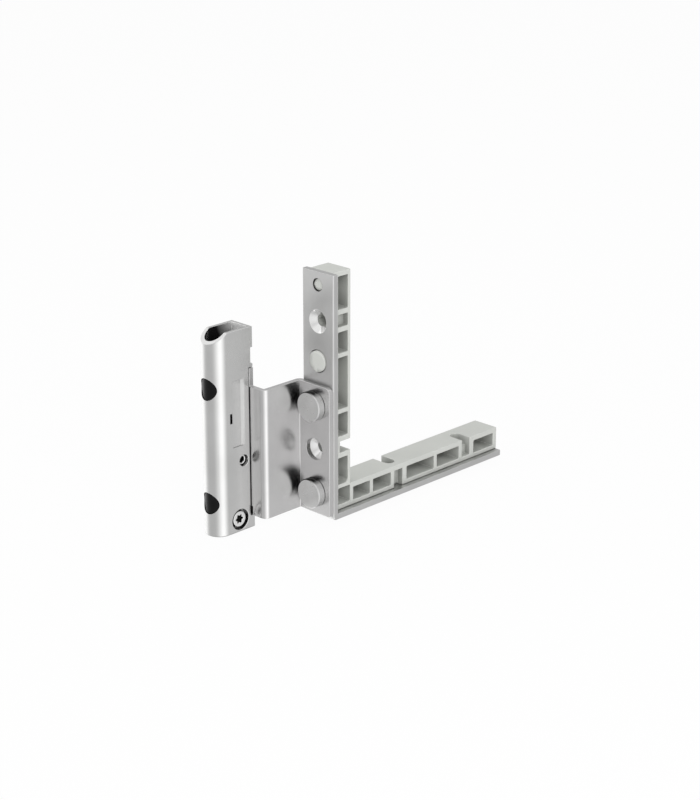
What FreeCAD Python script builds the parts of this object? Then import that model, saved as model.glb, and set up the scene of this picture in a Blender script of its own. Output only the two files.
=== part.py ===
import FreeCAD, Part
import math
import os

# Sash-side corner hinge of a tilt-and-turn window.
# Millimetres. The origin is on the hinge axis, at the housing's bottom face.
# +X runs along the angle's lower arm, +Y to the room side, +Z up.

# Hinge housing
housing_wall = 1.6
nose_slope_start = 0.6
nose_slope_angle = 33.0
channel_floor = 9.6
channel_height = 54.0
channel_length = 6.35
channel_partition = 0.8
channel_near_wall = 3.4
shelf_thickness = 6.4
cup_depth = 9.2
slot_bottom = 5.0
slot_lip_height = 3.7
slot_lip_gap = 0.15
slot_lip_thickness = 0.9
height_travel = 3.5
end_notch_depth = 1.0
end_notch_bottom = 65.0
end_notch_height = 6.2
label_left = 2.8
label_right = 8.4
label_bottom = 34.2
label_top = 60.2
label_depth = 0.35
label_bevel = 1.2
mark_slot_x = 1.5
mark_slot_width = 1.15
mark_slot_bottom = 43.9
mark_slot_height = 3.9
mark_slot_depth = 0.8

# Pivot bushes and their windows in the nose
pivot_bore_radius = 3.05
pivot_waist_gap = 0.35
bush_wall = 0.8
bush_length = 20.0
bush_clearance = 0.05
window_radius = 4.25
window_depth = 3.0
lower_window_height = 13.1
upper_window_drop = 12.1
lug_recess = 0.35
lug_clearance = 0.2

# Steel angle
strip_width = 16.0
strip_thickness = 2.5
upright_length = 96.0
arm_length = 96.3
bend_outer_radius = 2.0
strip_edge_chamfer = 0.4
axis_to_strip_face = 31.8
axis_to_strip_middle = 20.6
heel_height = 3.0
screw_hole_radius = 2.25
countersink_radius = 4.5
upright_screw_low = 27.6
upright_screw_end_distance = 18.9
arm_screw_first = 38.3
arm_screw_end_distance = 18.5
large_peg_below_screw = 15.3
large_peg_hole_radius = 4.35
small_peg_end_distance = 5.0
small_peg_hole_radius = 2.5

# Plastic groove filler
filler_width = 11.6
filler_inset = 2.5
filler_depth = 9.15
filler_overhang = 0.3
filler_inner_round = 0.8
peg_clearance = 0.3
large_peg_proud = 0.5
small_peg_recess = 0.6
pocket_depth = 9.6
screw_pocket_depth = 2.6
upright_strip_wall = 2.75
upright_outer_wall = 1.4
arm_strip_wall = 1.8
arm_outer_wall = 2.1
pocket_corner_round = 1.6
pocket_rib = 1.8
pocket_end_wall = 1.9
upright_boss_half = 4.4
upright_rib_after_screw = 14.2
upright_rib_before_screw = 13.35
upright_first_pocket = 12.6
arm_boss_before = 4.2
arm_boss_after = 4.75
arm_rib_before_first = 15.0
arm_rib_before_second = 18.1
arm_first_pocket = 13.3
corner_pocket_low = 4.5
corner_pocket_high = 11.0
screw_pocket_height = 4.7
screw_notch_height = 4.4
screw_notch_wall = 3.5
filler_screw_radius = 2.3
top_notch_depth = 3.6

# Hinge plate, folded to a Z
plate_thickness = 2.1
plate_foot = 2.2
plate_height = 51.0
plate_inner_bend = 0.3
plate_corner_top = 2.4
plate_corner_bottom = 0.9
web_inset = 0.5
plate_hole_radius = 4.25
tongue_inset = 1.8
tongue_gap = 0.3
tongue_edge_inset = 0.1
relief_width = 0.8
seam_gap = 0.25

# Stud rivets
rivet_head_radius = 5.75
rivet_head_height = 3.2
rivet_head_chamfer = 0.3
rivet_shank_radius = 3.0
rivet_tail_radius = 4.0
rivet_tail_height = 1.0
rivet_above_foot = 8.3
rivet_below_top = 8.1
rivet_clearance = 0.05

# Slide block
block_clearance = 0.1
block_bottom_gap = 0.4
block_top_gap = 3.1
tenon_radius = 2.0
tenon_inset = 6.5
tenon_clearance = 0.05
block_groove_depth = 1.5
block_groove_clearance = 0.2
block_groove_end_gap = 1.0
block_chamfer = 0.5

# Height spindle, washer and clip
spindle_radius = 2.0
spindle_engagement = 19.5
spindle_end_gap = 1.0
spindle_head_radius = 2.8
spindle_head_height = 4.0
spindle_socket_flats = 3.0
spindle_socket_depth = 2.5
spindle_clearance = 0.1
washer_overlap = 0.1
washer_thickness = 0.5
clip_radius = 2.9
clip_groove_radius = 1.6
clip_thickness = 0.7
clip_gap = 0.15
clip_clearance = 0.05
clip_mouth = 2.4

# Lock screw in the near face
lock_height = 28.0
lock_hole_radius = 2.2
lock_recess = 1.3
lock_clearance = 0.05
lock_tip_radius = 1.5
lock_tip_gap = 0.15
lock_socket_flats = 2.5
lock_socket_depth = 1.4

# Lift lock cam near the bottom
cam_height = 4.9
cam_head_radius = 3.1
cam_head_depth = 1.9
cam_recess = 0.6
cam_counterbore_clearance = 1.0
cam_shaft_radius = 3.3
cam_shaft_end = 2.8
cam_clearance = 0.1
cam_bite = 0.55
cam_flat_gap = 1.25
cam_chamfer = 0.2
lobe_outer_radius = 1.85
lobe_inner_radius = 1.3
lobe_depth = 1.4

# Places that several pieces share
overcut = 1.0
tolerance = 1e-3
bush_radius = pivot_bore_radius + bush_wall
bush_seat_radius = bush_radius + bush_clearance
pivot_waist_radius = pivot_bore_radius + pivot_waist_gap
nose_radius = bush_seat_radius + housing_wall
near_face = -nose_radius
far_inner = nose_radius - housing_wall
channel_near = near_face + channel_near_wall
channel_start = bush_seat_radius + channel_partition
slot_start = channel_start + channel_length
flange_outer = slot_start + seam_gap
housing_reach = flange_outer + tongue_inset
end_inner = housing_reach - housing_wall
shelf_bottom = channel_floor + channel_height
shelf_top = shelf_bottom + shelf_thickness
housing_height = shelf_top + cup_depth
upper_window_height = shelf_top - upper_window_drop
upper_bush_bottom = shelf_top - bush_length
strip_near = -axis_to_strip_middle - strip_width / 2
strip_far = strip_near + strip_width
strip_face = axis_to_strip_face
strip_inner = strip_face + strip_thickness
strip_middle = -axis_to_strip_middle
arm_top = heel_height + strip_thickness
filler_near = strip_near + filler_inset
filler_far = filler_near + filler_width
filler_back = strip_inner + filler_depth
filler_top = arm_top + filler_depth
upright_end = heel_height + upright_length
arm_end = strip_face + arm_length
upright_screws = [heel_height + upright_screw_low, upright_end - upright_screw_end_distance]
arm_screws = [strip_face + arm_screw_first, arm_end - arm_screw_end_distance]
large_peg = upright_screws[1] - large_peg_below_screw
upright_small_peg = upright_end - small_peg_end_distance
arm_small_peg = arm_end - small_peg_end_distance
plate_face = strip_face - plate_thickness
plate_outer_bend = plate_inner_bend + plate_thickness
web_near = strip_far - web_inset
web_far = web_near + plate_thickness
flange_inner = flange_outer + plate_thickness
plate_bottom = heel_height + plate_foot
plate_top = plate_bottom + plate_height
rivet_heights = [plate_bottom + rivet_above_foot, plate_top - rivet_below_top]
tongue_end = far_inner - tongue_gap
tongue_bottom = slot_bottom + height_travel + tongue_gap
tongue_top = shelf_bottom - tongue_gap
lip_inner = housing_reach - slot_lip_thickness
lip_top = slot_bottom + slot_lip_height
tongue_step = lip_top + height_travel + tongue_gap
block_bottom = channel_floor + height_travel + block_bottom_gap
block_top = shelf_bottom - block_top_gap
tenon_heights = [block_bottom + tenon_inset, block_top - tenon_inset]
block_near = channel_near + block_clearance
block_far = far_inner - block_clearance
block_start = channel_start + block_clearance
spindle_x = (block_start + flange_outer) / 2
spindle_y = (block_near + block_far) / 2
spindle_bottom = block_top - spindle_engagement
spindle_hole_bottom = spindle_bottom - spindle_end_gap
washer_radius = spindle_head_radius + washer_overlap
lock_x = spindle_x
cam_x = pivot_bore_radius - cam_bite + cam_shaft_radius
cam_counterbore_radius = cam_head_radius + cam_counterbore_clearance
cam_bore_radius = cam_shaft_radius + cam_clearance
cam_head_inner = near_face + cam_recess + cam_head_depth
lock_outer = near_face + lock_recess

up = FreeCAD.Vector(0, 0, 1)
along_x = FreeCAD.Vector(1, 0, 0)
along_y = FreeCAD.Vector(0, 1, 0)


def point(x, y, z):
    return FreeCAD.Vector(x, y, z)


def box(x_range, y_range, z_range):
    """Box between two limits along each axis."""
    size = [high - low for low, high in (x_range, y_range, z_range)]
    return Part.makeBox(*size, point(x_range[0], y_range[0], z_range[0]))


def rod(radius, start, end):
    """Round rod from one point to another."""
    path = end.sub(start)
    return Part.makeCylinder(radius, path.Length, start, path)


def cone(start_radius, end_radius, start, end):
    path = end.sub(start)
    return Part.makeCone(start_radius, end_radius, path.Length, start, path)


def prism(points, direction):
    """Solid from a closed outline of corner points, pushed along a vector."""
    wire = Part.makePolygon(points + points[:1])
    return Part.Face(wire).extrude(direction)


def hexagon(flats, centre, direction):
    """Six-sided socket with the given width across flats, pushed from its centre along an axis."""
    radius = flats / math.sqrt(3)
    corners = [point(radius * math.cos(math.radians(60 * i)), radius * math.sin(math.radians(60 * i)), 0)
               for i in range(6)]
    solid = prism(corners, up * direction.Length)
    solid.Placement = FreeCAD.Placement(centre, FreeCAD.Rotation(up, direction))
    return solid


def edges_at(solid, target):
    """The edges whose middle lies at a point."""
    return [edge for edge in solid.Edges if edge.BoundBox.Center.sub(target).Length < tolerance]


def bullet(radius, reach, bottom, top):
    """Half-round nose about the hinge axis, with straight sides that run to a flat end."""
    arc = Part.Arc(point(0, radius, bottom), point(-radius, 0, bottom), point(0, -radius, bottom))
    edges = [arc.toShape(),
             Part.makeLine(point(0, -radius, bottom), point(reach, -radius, bottom)),
             Part.makeLine(point(reach, -radius, bottom), point(reach, radius, bottom)),
             Part.makeLine(point(reach, radius, bottom), point(0, radius, bottom))]
    return Part.Face(Part.Wire(edges)).extrude(up * (top - bottom))


def slanted_nose():
    """What the slanted cut takes off the nose at the top."""
    tip = -nose_radius - overcut
    drop = (nose_slope_start - tip) * math.tan(math.radians(nose_slope_angle))
    side = near_face - overcut
    corners = [point(nose_slope_start, side, housing_height),
               point(tip, side, housing_height - drop),
               point(tip, side, housing_height + overcut),
               point(nose_slope_start, side, housing_height + overcut)]
    return prism(corners, along_y * (2 * (nose_radius + overcut)))


def label_field():
    """Shallow bare field in the near face, with one bevelled side."""
    floor = near_face + label_depth
    corners = [point(label_left, near_face, label_bottom),
               point(label_right, near_face, label_bottom),
               point(label_right - label_bevel, floor, label_bottom),
               point(label_left, floor, label_bottom)]
    return prism(corners, up * (label_top - label_bottom))


def make_hinge_housing():
    body = bullet(nose_radius, housing_reach, 0, housing_height)
    cuts = [slanted_nose(), label_field()]
    cuts.append(bullet(bush_seat_radius, end_inner, shelf_top, housing_height + overcut))
    cuts.append(rod(bush_seat_radius, point(0, 0, 0), point(0, 0, bush_length)))
    cuts.append(rod(pivot_waist_radius, point(0, 0, 0), point(0, 0, shelf_top)))
    cuts.append(rod(bush_seat_radius, point(0, 0, upper_bush_bottom), point(0, 0, shelf_top)))
    window_floor = window_depth - nose_radius
    for height in (lower_window_height, upper_window_height):
        cuts.append(rod(window_radius, point(-nose_radius, 0, height), point(window_floor, 0, height)))
    cuts.append(box((channel_start, slot_start), (channel_near, far_inner), (channel_floor, shelf_bottom)))
    cuts.append(box((slot_start, housing_reach), (near_face, far_inner), (lip_top, shelf_bottom)))
    cuts.append(box((slot_start, lip_inner), (near_face, far_inner), (slot_bottom, lip_top)))
    cuts.append(rod(spindle_radius + spindle_clearance,
                    point(spindle_x, spindle_y, shelf_bottom), point(spindle_x, spindle_y, shelf_top)))
    cuts.append(box((housing_reach - end_notch_depth, housing_reach), (near_face, nose_radius),
                    (end_notch_bottom, end_notch_bottom + end_notch_height)))
    cuts.append(rod(lock_hole_radius,
                    point(lock_x, near_face, lock_height), point(lock_x, channel_near, lock_height)))
    cuts.append(rod(cam_counterbore_radius,
                    point(cam_x, near_face, cam_height), point(cam_x, cam_head_inner, cam_height)))
    cuts.append(rod(cam_bore_radius, point(cam_x, cam_head_inner, cam_height),
                    point(cam_x, cam_shaft_end + cam_clearance, cam_height)))
    cuts.append(box((mark_slot_x, mark_slot_x + mark_slot_width), (near_face, near_face + mark_slot_depth),
                    (mark_slot_bottom, mark_slot_bottom + mark_slot_height)))
    return body.cut(cuts)


def make_pivot_bush(bottom, window_height):
    """Bush for the frame's pivot pin, with a lug that snaps into its window in the nose."""
    tube = rod(bush_radius, point(0, 0, bottom), point(0, 0, bottom + bush_length))
    lug_radius = window_radius - lug_clearance
    lug = rod(lug_radius, point(-nose_radius, 0, window_height),
              point(window_depth - lug_clearance - nose_radius, 0, window_height))
    lug_limit = rod(nose_radius - lug_recess, point(0, 0, bottom), point(0, 0, bottom + bush_length))
    bush = tube.fuse(lug.common(lug_limit))
    return bush.cut(rod(pivot_bore_radius, point(0, 0, bottom), point(0, 0, bottom + bush_length)))


def make_pivot_bush_lower():
    """The lower bush is open at the side where the cam reaches the pin."""
    bush = make_pivot_bush(0, lower_window_height)
    shaft_way = rod(cam_bore_radius,
                    point(cam_x, near_face, cam_height), point(cam_x, nose_radius, cam_height))
    head_way = rod(cam_counterbore_radius,
                   point(cam_x, near_face, cam_height), point(cam_x, cam_head_inner, cam_height))
    return bush.cut([shaft_way, head_way])


def make_pivot_bush_upper():
    return make_pivot_bush(upper_bush_bottom, upper_window_height)


def bent_strip():
    """Flat strip bent to an L with a rounded heel and a nearly sharp inner corner."""
    heel = bend_outer_radius
    diagonal = heel * (1 - math.sqrt(0.5))
    y = strip_near
    arc = Part.Arc(point(strip_face, y, heel_height + heel),
                   point(strip_face + diagonal, y, heel_height + diagonal),
                   point(strip_face + heel, y, heel_height))
    corners = [point(strip_face + heel, y, heel_height),
               point(arm_end, y, heel_height),
               point(arm_end, y, arm_top),
               point(strip_inner, y, arm_top),
               point(strip_inner, y, upright_end),
               point(strip_face, y, upright_end),
               point(strip_face, y, heel_height + heel)]
    edges = [arc.toShape()]
    edges += [Part.makeLine(a, b) for a, b in zip(corners, corners[1:])]
    return Part.Face(Part.Wire(edges)).extrude(along_y * strip_width)


def outer_long_edges(strip):
    """The edges that run along the strip's outer face on both sides."""
    found = []
    heel = bend_outer_radius + tolerance
    for edge in strip.Edges:
        bounds = edge.BoundBox
        along_side = bounds.YLength < tolerance
        on_upright = bounds.XMax < strip_face + tolerance
        on_arm = bounds.ZMax < heel_height + tolerance
        on_heel = bounds.XMax < strip_face + heel and bounds.ZMax < heel_height + heel
        if along_side and (on_upright or on_arm or on_heel):
            found.append(edge)
    return found


def make_corner_angle():
    strip = bent_strip()
    strip = strip.makeChamfer(strip_edge_chamfer, outer_long_edges(strip))
    sink = countersink_radius - screw_hole_radius
    y = strip_middle
    cuts = []
    for z in upright_screws:
        cuts.append(rod(screw_hole_radius, point(strip_face, y, z), point(strip_inner, y, z)))
        cuts.append(cone(countersink_radius, screw_hole_radius,
                         point(strip_face, y, z), point(strip_face + sink, y, z)))
    for x in arm_screws:
        cuts.append(rod(screw_hole_radius, point(x, y, heel_height), point(x, y, arm_top)))
        cuts.append(cone(countersink_radius, screw_hole_radius,
                         point(x, y, heel_height), point(x, y, heel_height + sink)))
    for z in rivet_heights:
        cuts.append(rivet_shape(z, rivet_clearance))
    z = large_peg
    cuts.append(rod(large_peg_hole_radius, point(strip_face, y, z), point(strip_inner, y, z)))
    z = upright_small_peg
    cuts.append(rod(small_peg_hole_radius, point(strip_face, y, z), point(strip_inner, y, z)))
    x = arm_small_peg
    cuts.append(rod(small_peg_hole_radius, point(x, y, heel_height), point(x, y, arm_top)))
    return strip.cut(cuts)


def filler_body():
    """Solid L that fills the sash's groove, before its pockets."""
    y = filler_near
    arm_tip = arm_end + filler_overhang
    chamfer = filler_inner_round
    corners = [point(strip_inner + chamfer, y, arm_top),
               point(arm_tip, y, arm_top),
               point(arm_tip, y, filler_top),
               point(filler_back, y, filler_top),
               point(filler_back, y, upright_end),
               point(strip_inner, y, upright_end),
               point(strip_inner, y, arm_top + chamfer)]
    return prism(corners, along_y * filler_width)


def pockets_between(start, ribs, end):
    """Spans of the pockets that ribs leave between two ends."""
    starts = [start] + [rib + pocket_rib / 2 for rib in ribs]
    ends = [rib - pocket_rib / 2 for rib in ribs] + [end]
    return list(zip(starts, ends))


def rounded_pocket(x_range, z_range, depth):
    """Blind pocket from the near side, its far lower corner rounded."""
    pocket = box(x_range, (filler_near, filler_near + depth), z_range)
    target = point(x_range[1], filler_near + depth / 2, z_range[0])
    return pocket.makeFillet(pocket_corner_round, edges_at(pocket, target))


def upright_cuts():
    """Pockets and screw ways in the upright leg of the filler."""
    across = (strip_inner + upright_strip_wall, filler_back - upright_outer_wall)
    side = (filler_near, filler_near + pocket_depth)
    low_screw, high_screw = upright_screws
    boss = upright_boss_half
    lower_rib = low_screw + upright_rib_after_screw
    upper_rib = high_screw - upright_rib_before_screw
    cuts = [box(across, side, span) for span in pockets_between(low_screw + boss, [lower_rib, upper_rib],
                                                                high_screw - boss)]
    cuts.append(box(across, side, (high_screw + boss, upright_end - pocket_end_wall)))
    first_pocket = (heel_height + upright_first_pocket, low_screw - boss)
    cuts.append(rounded_pocket(across, first_pocket, pocket_depth))
    cuts.append(box((across[0], strip_face + arm_first_pocket - pocket_rib), side,
                    (heel_height + corner_pocket_low, heel_height + corner_pocket_high)))
    half = screw_pocket_height / 2
    shallow = (filler_near, filler_near + screw_pocket_depth)
    cuts.append(box(across, shallow, (high_screw - half, high_screw + half)))
    half = screw_notch_height / 2
    cuts.append(box((strip_inner + screw_notch_wall, filler_back), (filler_near, filler_far),
                    (low_screw - half, low_screw + half)))
    for z in upright_screws:
        cuts.append(rod(filler_screw_radius,
                        point(strip_inner, strip_middle, z), point(filler_back, strip_middle, z)))
    return cuts


def arm_cuts():
    """Pockets and screw ways in the lower leg of the filler."""
    across = (arm_top + arm_strip_wall, filler_top - arm_outer_wall)
    side = (filler_near, filler_near + pocket_depth)
    shallow = (filler_near, filler_near + screw_pocket_depth)
    notch_floor = filler_top - top_notch_depth
    half = filler_screw_radius
    first, second = arm_screws
    spans = pockets_between(strip_face + arm_first_pocket, [first - arm_rib_before_first],
                            first - arm_boss_before)
    spans += pockets_between(first + arm_boss_after, [second - arm_rib_before_second],
                             second - arm_boss_before)
    spans += [(second + arm_boss_after, arm_end - pocket_end_wall)]
    cuts = [box(span, side, across) for span in spans]
    cuts.append(box((first - half, first + half), shallow, (arm_top, across[1])))
    cuts.append(box((second - half, second + half), shallow, (across[0], filler_top)))
    cuts.append(box((first - half, first + half), (strip_middle, filler_far), (notch_floor, filler_top)))
    cuts.append(box((second - half, second + half), (filler_near, strip_middle), (notch_floor, filler_top)))
    for x in arm_screws:
        cuts.append(rod(half, point(x, strip_middle, arm_top), point(x, strip_middle, filler_top)))
    return cuts


def make_groove_filler():
    body = filler_body()
    body = body.cut(upright_cuts() + arm_cuts())
    y = strip_middle
    z = large_peg
    radius = large_peg_hole_radius - peg_clearance
    pegs = [rod(radius, point(strip_face - large_peg_proud, y, z), point(strip_inner, y, z))]
    z = upright_small_peg
    radius = small_peg_hole_radius - peg_clearance
    pegs.append(rod(radius, point(strip_face + small_peg_recess, y, z), point(strip_inner, y, z)))
    x = arm_small_peg
    pegs.append(rod(radius, point(x, y, heel_height + small_peg_recess), point(x, y, arm_top)))
    return body.fuse(pegs).removeSplitter()


def folded_sheet(bottom, top):
    """The Z seen from above: plate on the strip, web, and flange with its tongue."""
    outline = [(strip_face, strip_near), (strip_face, web_far),
               (flange_inner, web_far), (flange_inner, tongue_end),
               (flange_outer, tongue_end), (flange_outer, web_near),
               (plate_face, web_near), (plate_face, strip_near)]
    sheet = prism([point(x, y, bottom) for x, y in outline], up * (top - bottom))
    bends = {(strip_face, web_far): plate_outer_bend, (flange_outer, web_near): plate_outer_bend,
             (flange_inner, web_far): plate_inner_bend, (plate_face, web_near): plate_inner_bend}
    middle = (bottom + top) / 2
    for (x, y), radius in bends.items():
        sheet = sheet.makeFillet(radius, edges_at(sheet, point(x, y, middle)))
    return sheet


def make_hinge_plate():
    """The plate and web end at their own heights; the tongue ends where the housing's slot does.

    The tongue's foot is thinned where the slot's lip comes up past it.
    """
    bottom = min(plate_bottom, tongue_bottom) - overcut
    top = max(plate_top, tongue_top) + overcut
    sheet = folded_sheet(bottom, top)
    across = (flange_outer - overcut, strip_face + overcut)
    tongue_edge = near_face + tongue_edge_inset
    relief_edge = near_face - relief_width
    before = strip_near - overcut
    behind = tongue_end + overcut
    sheet = sheet.cut([box(across, (before, tongue_edge), (plate_top, top)),
                       box(across, (tongue_edge, behind), (tongue_top, top)),
                       box(across, (before, relief_edge), (bottom, plate_bottom)),
                       box((across[0], flange_inner + overcut), (relief_edge, behind),
                           (bottom, tongue_bottom)),
                       box((lip_inner - slot_lip_gap, flange_inner + overcut),
                           (near_face - tongue_gap, behind), (tongue_bottom, tongue_step))])
    middle = (plate_face + strip_face) / 2
    sheet = sheet.makeFillet(plate_corner_top, edges_at(sheet, point(middle, strip_near, plate_top)))
    sheet = sheet.makeFillet(plate_corner_bottom, edges_at(sheet, point(middle, strip_near, plate_bottom)))
    y = strip_middle
    z = upright_screws[0]
    holes = [rod(plate_hole_radius, point(plate_face, y, z), point(strip_face, y, z))]
    for z in rivet_heights:
        holes.append(rod(rivet_shank_radius + rivet_clearance,
                         point(plate_face, y, z), point(strip_face, y, z)))
    for z in tenon_heights:
        holes.append(rod(tenon_radius + tenon_clearance,
                         point(flange_outer, spindle_y, z), point(flange_inner, spindle_y, z)))
    return sheet.cut(holes)


def rivet_shape(z, clearance):
    """Shank and flared tail of a rivet, grown by a clearance."""
    y = strip_middle
    tail_start = strip_inner - rivet_tail_height
    shank = rod(rivet_shank_radius + clearance, point(plate_face, y, z), point(strip_inner, y, z))
    tail = cone(rivet_shank_radius + clearance, rivet_tail_radius + clearance,
                point(tail_start, y, z), point(strip_inner, y, z))
    return shank.fuse(tail)


def make_rivet(z):
    y = strip_middle
    crown = plate_face - rivet_head_height
    rim = crown + rivet_head_chamfer
    top = cone(rivet_head_radius - rivet_head_chamfer, rivet_head_radius,
               point(crown, y, z), point(rim, y, z))
    head = rod(rivet_head_radius, point(rim, y, z), point(plate_face, y, z))
    return top.fuse([head, rivet_shape(z, 0)]).removeSplitter()


def make_slide_block():
    """Threaded block in the housing's channel, riveted to the tongue by two tenons."""
    block = box((block_start, flange_outer), (block_near, block_far), (block_bottom, block_top))
    rims = edges_at(block, point(block_start, spindle_y, block_bottom))
    rims += edges_at(block, point(block_start, spindle_y, block_top))
    block = block.makeChamfer(block_chamfer, rims)
    tenons = [rod(tenon_radius, point(flange_outer, spindle_y, z), point(flange_inner, spindle_y, z))
              for z in tenon_heights]
    block = block.fuse(tenons)
    thread = rod(spindle_radius + spindle_clearance,
                 point(spindle_x, spindle_y, spindle_hole_bottom), point(spindle_x, spindle_y, block_top))
    half = lock_tip_radius + block_groove_clearance
    end = lock_tip_radius + block_groove_end_gap
    groove = box((lock_x - half, lock_x + half), (block_near, block_near + block_groove_depth),
                 (lock_height - end, lock_height + height_travel + end))
    return block.cut([thread, groove])


def make_height_spindle():
    x, y = spindle_x, spindle_y
    seat = shelf_top + washer_thickness
    crown = seat + spindle_head_height
    screw = rod(spindle_radius, point(x, y, spindle_bottom), point(x, y, seat))
    head = rod(spindle_head_radius, point(x, y, seat), point(x, y, crown))
    floor = crown - spindle_socket_depth
    socket = hexagon(spindle_socket_flats, point(x, y, floor), up * spindle_socket_depth)
    clip_top = shelf_bottom - clip_gap
    groove = rod(spindle_radius, point(x, y, clip_top - clip_thickness), point(x, y, clip_top))
    core = rod(clip_groove_radius, point(x, y, clip_top - clip_thickness), point(x, y, clip_top))
    return screw.fuse(head).cut([socket, groove]).fuse(core).removeSplitter()


def make_thrust_washer():
    x, y = spindle_x, spindle_y
    disc = rod(washer_radius, point(x, y, shelf_top), point(x, y, shelf_top + washer_thickness))
    return disc.cut(rod(spindle_radius + spindle_clearance, point(x, y, shelf_top),
                        point(x, y, shelf_top + washer_thickness)))


def make_spindle_clip():
    """Open ring that snaps into the spindle's groove."""
    x, y = spindle_x, spindle_y
    top = shelf_bottom - clip_gap
    bottom = top - clip_thickness
    disc = rod(clip_radius, point(x, y, bottom), point(x, y, top))
    hole = rod(clip_groove_radius + clip_clearance, point(x, y, bottom), point(x, y, top))
    mouth = box((x, x + clip_radius), (y - clip_mouth / 2, y + clip_mouth / 2), (bottom, top))
    return disc.cut([hole, mouth])


def make_lock_screw():
    x, z = lock_x, lock_height
    tip = block_near + block_groove_depth - lock_tip_gap
    thread = rod(lock_hole_radius - lock_clearance, point(x, lock_outer, z), point(x, channel_near, z))
    dog = rod(lock_tip_radius, point(x, channel_near, z), point(x, tip, z))
    socket = hexagon(lock_socket_flats, point(x, lock_outer, z), along_y * lock_socket_depth)
    return thread.fuse(dog).cut(socket)


def make_lift_lock_cam():
    """Pin with a flat that faces the pivot bore at rest, and a six-lobe socket in its head."""
    x, z = cam_x, cam_height
    outer = near_face + cam_recess
    rim = outer + cam_chamfer
    crown = cone(cam_head_radius - cam_chamfer, cam_head_radius, point(x, outer, z), point(x, rim, z))
    head = rod(cam_head_radius, point(x, rim, z), point(x, cam_head_inner, z))
    shaft = rod(cam_shaft_radius, point(x, cam_head_inner, z), point(x, cam_shaft_end, z))
    flat = box((x - cam_shaft_radius - overcut, pivot_bore_radius + cam_flat_gap),
               (cam_head_inner, cam_shaft_end), (z - cam_shaft_radius, z + cam_shaft_radius))
    rim_points = []
    for i in range(24):
        turn = math.radians(15 * i)
        radius = lobe_outer_radius if i % 4 < 2 else lobe_inner_radius
        rim_points.append(point(x + radius * math.cos(turn), outer, z + radius * math.sin(turn)))
    socket = prism(rim_points, along_y * lobe_depth)
    return crown.fuse([head, shaft.cut(flat)]).removeSplitter().cut(socket)


def make_parts():
    return {
        "corner_angle": make_corner_angle(),
        "groove_filler": make_groove_filler(),
        "hinge_plate": make_hinge_plate(),
        "rivet_lower": make_rivet(rivet_heights[0]),
        "rivet_upper": make_rivet(rivet_heights[1]),
        "slide_block": make_slide_block(),
        "hinge_housing": make_hinge_housing(),
        "pivot_bush_lower": make_pivot_bush_lower(),
        "pivot_bush_upper": make_pivot_bush_upper(),
        "height_spindle": make_height_spindle(),
        "thrust_washer": make_thrust_washer(),
        "spindle_clip": make_spindle_clip(),
        "lock_screw": make_lock_screw(),
        "lift_lock_cam": make_lift_lock_cam(),
    }


os.makedirs("parts", exist_ok=True)
for name, shape in make_parts().items():
    shape.exportStep("parts/" + name + ".step")
    state = "valid" if shape.isValid() else "NOT VALID"
    print(name, state, len(shape.Solids), "solid", round(shape.Volume, 1), "mm3")
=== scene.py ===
import math

import bmesh
import bpy
from mathutils import Matrix, Vector


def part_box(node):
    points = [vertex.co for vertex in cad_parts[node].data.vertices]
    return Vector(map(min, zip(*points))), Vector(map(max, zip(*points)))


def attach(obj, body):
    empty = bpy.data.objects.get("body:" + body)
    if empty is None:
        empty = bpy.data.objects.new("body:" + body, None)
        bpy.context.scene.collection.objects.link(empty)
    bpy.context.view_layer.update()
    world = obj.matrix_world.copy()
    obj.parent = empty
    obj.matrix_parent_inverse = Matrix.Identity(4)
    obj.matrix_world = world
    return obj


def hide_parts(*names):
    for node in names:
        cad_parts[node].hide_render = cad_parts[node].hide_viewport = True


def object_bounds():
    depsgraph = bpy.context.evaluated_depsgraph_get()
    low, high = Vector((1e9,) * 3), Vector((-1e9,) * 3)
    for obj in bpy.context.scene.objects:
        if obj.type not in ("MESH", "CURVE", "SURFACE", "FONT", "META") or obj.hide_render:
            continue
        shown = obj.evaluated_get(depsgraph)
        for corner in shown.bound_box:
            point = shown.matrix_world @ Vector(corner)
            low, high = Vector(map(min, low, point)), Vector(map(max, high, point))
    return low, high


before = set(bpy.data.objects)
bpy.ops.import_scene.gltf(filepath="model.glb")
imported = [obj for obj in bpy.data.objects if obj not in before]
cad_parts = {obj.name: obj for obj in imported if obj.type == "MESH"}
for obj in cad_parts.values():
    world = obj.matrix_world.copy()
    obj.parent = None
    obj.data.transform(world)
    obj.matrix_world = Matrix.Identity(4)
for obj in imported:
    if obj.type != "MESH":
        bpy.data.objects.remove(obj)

cadLow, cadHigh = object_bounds()
mm = 0.001
scene = bpy.context.scene
scene.view_settings.view_transform = "Standard"
print("frame loaded, solids:", len(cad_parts))


# small helpers for node trees
def addNode(tree, kind, **settings):
    node = tree.nodes.new(kind)
    for key, value in settings.items():
        setattr(node, key, value)
    return node


def fillInputs(node, **values):
    for key, value in values.items():
        node.inputs[key].default_value = value
    return node


# a socket takes a link or a plain value
def feedSocket(tree, socket, value):
    if isinstance(value, bpy.types.NodeSocket):
        tree.links.new(value, socket)
    else:
        socket.default_value = value


def newGroup(name, inputs, outputs):
    group = bpy.data.node_groups.new(name, "ShaderNodeTree")
    for label, kind, value in inputs:
        socket = group.interface.new_socket(label, in_out="INPUT", socket_type=kind)
        socket.default_value = value
    for label in outputs:
        group.interface.new_socket(label, in_out="OUTPUT", socket_type="NodeSocketFloat")
    return group, group.nodes.new("NodeGroupInput"), group.nodes.new("NodeGroupOutput")


def placeGroup(tree, group, **values):
    node = tree.nodes.new("ShaderNodeGroup")
    node.node_tree = group
    return fillInputs(node, **values)


def mathNode(tree, operation, first, second):
    node = addNode(tree, "ShaderNodeMath", operation=operation)
    for socket, value in zip(node.inputs, (first, second)):
        feedSocket(tree, socket, value)
    return node.outputs[0]


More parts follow.
